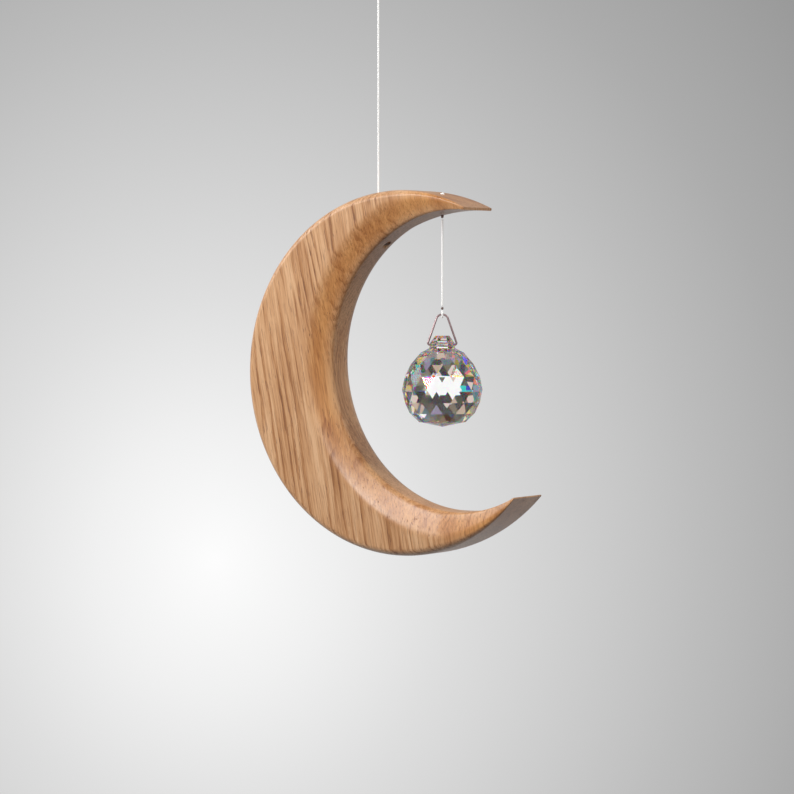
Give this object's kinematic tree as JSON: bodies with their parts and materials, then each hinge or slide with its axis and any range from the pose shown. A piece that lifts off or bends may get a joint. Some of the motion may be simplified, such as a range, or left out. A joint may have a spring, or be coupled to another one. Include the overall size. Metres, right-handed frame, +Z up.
{
  "type": "suncatcher",
  "caption": "Sculpted wooden crescent moon hung on a thread, with a faceted glass ball hanging on a wire bail from the moon's upper tip.",
  "frame": {"origin": "inside of the hanging loop's top, where the loop lies over a hook", "axes": "+Z up along the hanging thread, +X towards the crescent's open side, +Y through the plank away from the viewer"},
  "size_m": [0.1197, 0.0294, 0.226],
  "materials": {
    "oak": "satin",
    "thread": "matte",
    "dark_thread": "matte",
    "bail_wire": "satin",
    "crystal": "polished"
  },
  "bodies": {
    "loop": {"hanging_loop": "thread"},
    "loop_knot": {"loop_knot": "thread"},
    "upper_thread": {"upper_thread": "thread"},
    "thread_foot": {"upper_thread_foot": "thread"},
    "moon": {"crescent": "oak", "upper_bore_thread": "thread", "upper_stop_knot": "thread", "tip_knot": "thread", "tip_bore_thread": "thread"},
    "tip_lower_knot": {"tip_lower_knot": "dark_thread"},
    "lower_thread": {"lower_thread": "thread"},
    "thread_end": {"bail_knot": "thread", "bail_loop": "thread"},
    "bail": {"bail": "bail_wire"},
    "ball": {"crystal_ball": "crystal"}
  },
  "joints": [
    {"name": "side_swing", "type": "hinge", "parent": "loop", "child": "loop_knot", "pos_m": [0, 0, -0.0151], "axis": [0, 1, 0], "range_deg": [-30, 30]},
    {"name": "front_swing", "type": "hinge", "parent": "loop_knot", "child": "upper_thread", "pos_m": [0, 0, -0.0151], "axis": [1, 0, 0], "range_deg": [-30, 30]},
    {"name": "crescent_turn", "type": "hinge", "parent": "upper_thread", "child": "thread_foot", "pos_m": [0, 0, -0.0872], "axis": [0, 0, 1], "continuous": true},
    {"name": "crescent_rock", "type": "hinge", "parent": "thread_foot", "child": "moon", "pos_m": [0, 0, -0.0904], "axis": [0, 1, 0], "range_deg": [-20, 20]},
    {"name": "pendant_front_swing", "type": "hinge", "parent": "moon", "child": "tip_lower_knot", "pos_m": [0.0284, 0, -0.0988], "axis": [1, 0, 0], "range_deg": [-30, 30]},
    {"name": "pendant_side_swing", "type": "hinge", "parent": "tip_lower_knot", "child": "lower_thread", "pos_m": [0.0284, 0, -0.0988], "axis": [0, 1, 0], "range_deg": [-35, 25]},
    {"name": "ball_turn", "type": "hinge", "parent": "lower_thread", "child": "thread_end", "pos_m": [0.0284, 0, -0.1322], "axis": [0, 0, 1], "continuous": true},
    {"name": "bail_rock", "type": "hinge", "parent": "thread_end", "child": "bail", "pos_m": [0.0284, 0, -0.13756], "axis": [0.5446, -0.8387, 0], "range_deg": [-25, 25]},
    {"name": "ball_tip", "type": "hinge", "parent": "bail", "child": "ball", "pos_m": [0.0284, 0, -0.1466], "axis": [-0.8387, -0.5446, 0], "range_deg": [-90, 90]}
  ]
}
